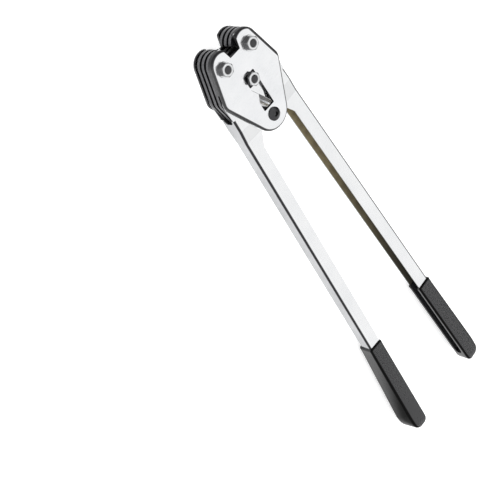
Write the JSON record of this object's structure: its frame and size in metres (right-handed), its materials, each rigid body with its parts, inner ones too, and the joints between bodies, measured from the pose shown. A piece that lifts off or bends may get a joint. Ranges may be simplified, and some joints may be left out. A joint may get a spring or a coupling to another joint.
{
  "type": "strapping seal crimper",
  "caption": "Front-action hand sealer for steel strapping: two long channel handles drive a toggle that closes laminated black jaws round a seal in a mouth between bright side plates.",
  "frame": {"origin": "bottom centre of the whole tool lying on its back, handles closed", "axes": "+Z out of the front side plate, +Y towards the jaws, +X to the right-hand handle"},
  "size_m": [0.131, 0.549, 0.0425],
  "materials": {
    "bright_plate": "bright nickel plate with faint scratches",
    "handle_plating": "bright nickel plate on pressed sheet",
    "black_jaw_steel": "black oxide with worn edges",
    "black_anvil_steel": "black oxide, oiled",
    "zinc_fastener": "bright zinc plate",
    "dark_bolt": "dark plain steel",
    "black_screw": "black oxide, satin",
    "plain_steel": "turned steel",
    "vinyl_grip": "dipped vinyl, semi-gloss"
  },
  "bodies": {
    "root": {"front_side_plate": "bright_plate", "rear_side_plate": "bright_plate", "front_anvil": "black_anvil_steel", "rear_anvil": "black_anvil_steel", "left_pivot_bolt": "dark_bolt", "right_pivot_bolt": "dark_bolt", "pivot_spacers": "plain_steel", "pivot_washers": "zinc_fastener", "pivot_nuts": "zinc_fastener", "tip_screw": "black_screw", "tip_nut": "zinc_fastener", "tip_spacer": "plain_steel"},
    "drive": {"drive_bolt": "dark_bolt", "drive_nut": "zinc_fastener", "drive_bush": "plain_steel", "front_drive_block": "black_anvil_steel", "rear_drive_block": "black_anvil_steel"},
    "left_handle": {"left_handle": "handle_plating", "left_grip": "vinyl_grip"},
    "right_handle": {"right_handle": "handle_plating", "right_grip": "vinyl_grip"},
    "left_jaw": {"left_jaw_front": "black_jaw_steel", "left_jaw_middle": "black_jaw_steel", "left_jaw_rear": "black_jaw_steel", "left_link_pin": "plain_steel", "left_link_spacers": "plain_steel"},
    "right_jaw": {"right_jaw_front": "black_jaw_steel", "right_jaw_middle": "black_jaw_steel", "right_jaw_rear": "black_jaw_steel", "right_link_pin": "plain_steel", "right_link_spacers": "plain_steel"}
  },
  "joints": [
    {"name": "drive_slide", "type": "slide", "parent": "root", "child": "drive", "axis": [0, -1, 0], "range_m": [0, 0.0248]},
    {"name": "left_handle_swing", "type": "hinge", "parent": "drive", "child": "left_handle", "pos_m": [0, 0.22836, 0.02082], "axis": [0, 0, -1], "range_deg": [0, 45]},
    {"name": "right_handle_swing", "type": "hinge", "parent": "drive", "child": "right_handle", "pos_m": [0, 0.22836, 0.02082], "axis": [0, 0, 1], "range_deg": [0, 45]},
    {"name": "left_jaw_swing", "type": "hinge", "parent": "root", "child": "left_jaw", "pos_m": [-0.0195, 0.25676, 0.02082], "axis": [0, 0, 1], "range_deg": [0, 10.75]},
    {"name": "right_jaw_swing", "type": "hinge", "parent": "root", "child": "right_jaw", "pos_m": [0.0195, 0.25676, 0.02082], "axis": [0, 0, -1], "range_deg": [0, 10.75]}
  ],
  "couplings": [
    {"joint": "drive_slide", "follows": "left_handle_swing", "m_per_rad": 0.031527},
    {"joint": "right_handle_swing", "follows": "left_handle_swing", "ratio": 1},
    {"joint": "left_jaw_swing", "follows": "left_handle_swing", "ratio": 0.2387},
    {"joint": "right_jaw_swing", "follows": "left_handle_swing", "ratio": 0.2387}
  ]
}
